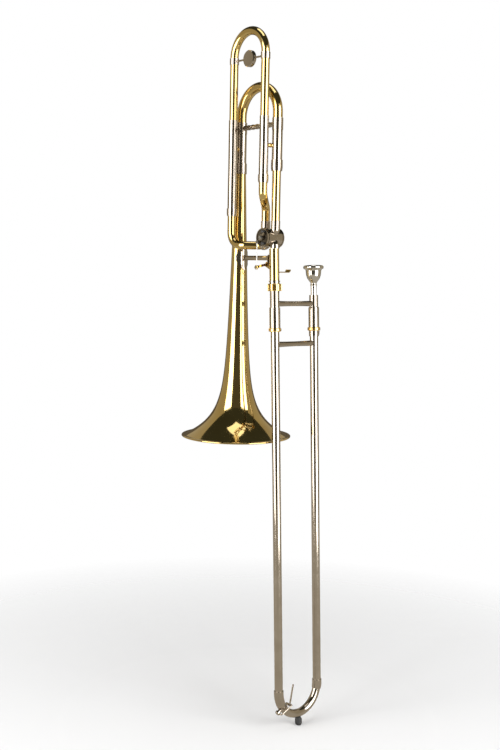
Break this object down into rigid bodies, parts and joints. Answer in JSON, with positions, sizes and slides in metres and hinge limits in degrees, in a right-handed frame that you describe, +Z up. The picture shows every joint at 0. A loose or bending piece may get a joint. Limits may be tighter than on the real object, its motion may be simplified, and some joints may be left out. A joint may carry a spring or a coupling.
{
  "type": "tenor trombone with thumb valve",
  "caption": "Tenor trombone with a rotary thumb valve, lacquered brass bell and bows, nickel silver hand slide and mouthpiece, standing upright on its bell.",
  "frame": {"origin": "centre of the bell mouth, where a bell stand holds the instrument", "axes": "+Z up along the bell, +X from the bell to the gooseneck, +Y from the neckpipe to the mouthpiece side of the hand slide"},
  "size_m": [0.2493, 0.2163, 1.259],
  "materials": {
    "lacquered_brass": "clear lacquered, polished",
    "gold_plate": "polished",
    "nickel_silver": "polished",
    "polished_plate": "mirror polished",
    "bronze": "machined",
    "steel": "brushed",
    "rubber": "matte"
  },
  "bodies": {
    "bell_section": {"bell": "lacquered_brass", "tuning_sleeve_bell_side": "nickel_silver", "tuning_sleeve_neck_side": "nickel_silver", "tuning_ferrule_bell_side": "nickel_silver", "tuning_ferrule_neck_side": "nickel_silver", "gooseneck_tube": "lacquered_brass", "loop_sleeve_bell_side": "nickel_silver", "loop_sleeve_neck_side": "nickel_silver", "loop_ferrule_bell_side": "nickel_silver", "loop_ferrule_neck_side": "nickel_silver", "loop_lower_tube": "lacquered_brass", "loop_upper_tube": "lacquered_brass", "valve_casing": "nickel_silver", "rear_bearing_plate": "bronze", "valve_back_cap": "nickel_silver", "stop_plate": "nickel_silver", "stop_bumper_upper": "rubber", "stop_bumper_lower": "rubber", "lever_bracket": "nickel_silver", "lever_pivot_screw": "gold_plate", "bell_brace_flange": "nickel_silver", "bell_brace": "nickel_silver", "neckpipe": "lacquered_brass", "neck_receiver": "nickel_silver"},
    "main_tuning_slide": {"main_tuning_bow": "lacquered_brass", "tuning_collar_bell_side": "nickel_silver", "tuning_collar_neck_side": "nickel_silver", "main_tuning_brace": "nickel_silver"},
    "loop_tuning_slide": {"loop_bow": "lacquered_brass", "loop_collar_bell_side": "nickel_silver", "loop_collar_neck_side": "nickel_silver", "loop_disc": "nickel_silver"},
    "rotor": {"rotor": "bronze", "stop_arm": "nickel_silver", "stop_arm_screw": "steel"},
    "connecting_rod": {"connecting_rod": "steel"},
    "thumb_lever": {"thumb_lever": "lacquered_brass"},
    "slide_section": {"slide_tenon_tube": "nickel_silver", "inner_slide_tube_left": "polished_plate", "inner_slide_tube_right": "polished_plate", "cork_barrel_left": "nickel_silver", "cork_barrel_right": "nickel_silver", "barrel_ring_left": "gold_plate", "mouthpiece_receiver": "nickel_silver", "leadpipe": "lacquered_brass", "upper_slide_brace": "nickel_silver"},
    "lock_nut": {"bell_lock_nut": "gold_plate"},
    "lock_ring": {"slide_lock_ring": "gold_plate"},
    "mouthpiece": {"mouthpiece": "polished_plate"},
    "hand_slide": {"outer_slide_tube_left": "nickel_silver", "outer_slide_tube_right": "nickel_silver", "lower_slide_brace": "nickel_silver", "lock_collar": "nickel_silver", "slide_crook": "nickel_silver", "crook_ferrule_left": "nickel_silver", "crook_ferrule_right": "nickel_silver", "slide_bumper": "rubber", "water_key_post": "nickel_silver", "water_key_screw": "steel"},
    "water_key": {"water_key_lever": "nickel_silver"}
  },
  "joints": [
    {"name": "main_tuning_pull", "type": "slide", "parent": "bell_section", "child": "main_tuning_slide", "axis": [0, 0, 1], "range_m": [0, 0.045]},
    {"name": "loop_tuning_pull", "type": "slide", "parent": "bell_section", "child": "loop_tuning_slide", "axis": [0, 0, 1], "range_m": [0, 0.06]},
    {"name": "thumb_press", "type": "hinge", "parent": "bell_section", "child": "thumb_lever", "pos_m": [0.07972, 0, 0.3205], "axis": [-1, 0, 0], "range_deg": [0, 36], "stiffness_Nm_per_rad": 0.12, "springref_deg": -28.65},
    {"name": "rotor_turn", "type": "hinge", "parent": "bell_section", "child": "rotor", "pos_m": [0.0848, 0, 0.366], "axis": [0, 1, 0], "range_deg": [0, 90]},
    {"name": "rod_swing", "type": "hinge", "parent": "rotor", "child": "connecting_rod", "pos_m": [0.07702, -0.0241, 0.35822], "axis": [0, 1, 0], "range_deg": [-90, 0]},
    {"name": "slide_swivel", "type": "hinge", "parent": "bell_section", "child": "slide_section", "pos_m": [0.098, 0, 0.2979], "axis": [-0.0478, 0, 0.9989], "range_deg": [-8, 4]},
    {"name": "lock_nut_turn", "type": "hinge", "parent": "slide_section", "child": "lock_nut", "pos_m": [0.09861, 0, 0.28521], "axis": [-0.0478, 0, 0.9989], "continuous": true},
    {"name": "lock_ring_turn", "type": "hinge", "parent": "slide_section", "child": "lock_ring", "pos_m": [0.10236, 0.0961, 0.2068], "axis": [-0.0478, 0, 0.9989], "range_deg": [0, 60]},
    {"name": "mouthpiece_pull", "type": "slide", "parent": "slide_section", "child": "mouthpiece", "axis": [-0.0478, 0, 0.9989], "range_m": [0, 0.026]},
    {"name": "hand_slide_travel", "type": "slide", "parent": "slide_section", "child": "hand_slide", "axis": [0.0478, 0, -0.9989], "range_m": [0, 0.6]},
    {"name": "water_key_press", "type": "hinge", "parent": "hand_slide", "child": "water_key", "pos_m": [0.13527, 0.02212, -0.48025], "axis": [0.9989, 0, 0.0478], "range_deg": [0, 18], "stiffness_Nm_per_rad": 0.04, "springref_deg": -22.92}
  ],
  "couplings": [
    {"joint": "rotor_turn", "follows": "thumb_press", "ratio": 2.5},
    {"joint": "rod_swing", "follows": "thumb_press", "ratio": -2.5}
  ]
}
